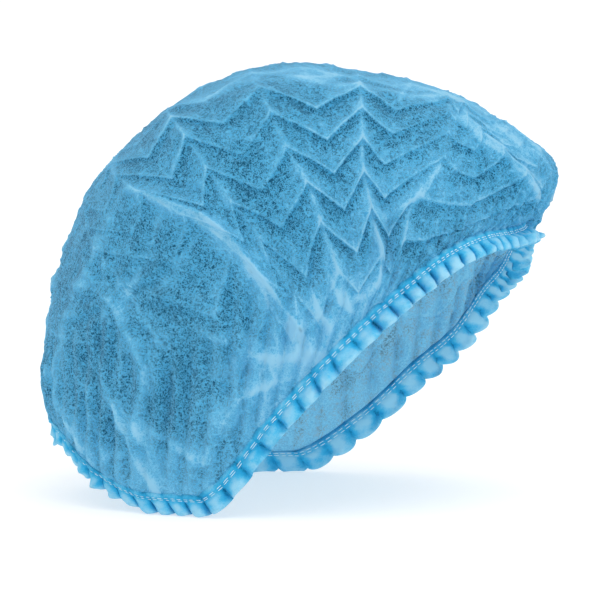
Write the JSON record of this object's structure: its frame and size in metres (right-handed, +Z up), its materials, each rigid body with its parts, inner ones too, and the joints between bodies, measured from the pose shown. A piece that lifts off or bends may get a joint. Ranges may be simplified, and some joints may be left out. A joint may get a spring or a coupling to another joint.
{
  "type": "disposable hairnet",
  "caption": "Puffed bouffant cap of thin non-woven web, with a hollow crown, a gathered elastic hem and a small ruffle, resting tilted on the rear of its rim",
  "frame": {"origin": "on the floor, under the middle of the whole cap", "axes": "+X runs along the cap to its raised end, +Y from its front to its back, +Z up"},
  "size_m": [0.2754, 0.2494, 0.2315],
  "materials": {
    "pleated_web": "thin blue spunbond polypropylene web, matt and slightly sheer, with pressed pleats",
    "hem_web": "the same blue web folded double, gathered and denser in colour",
    "knitted_elastic": "pale blue flat knitted elastic, matt"
  },
  "bodies": {
    "root": {"crown": "pleated_web", "hem_ruffle": "hem_web", "elastic_band": "knitted_elastic"}
  },
  "joints": []
}
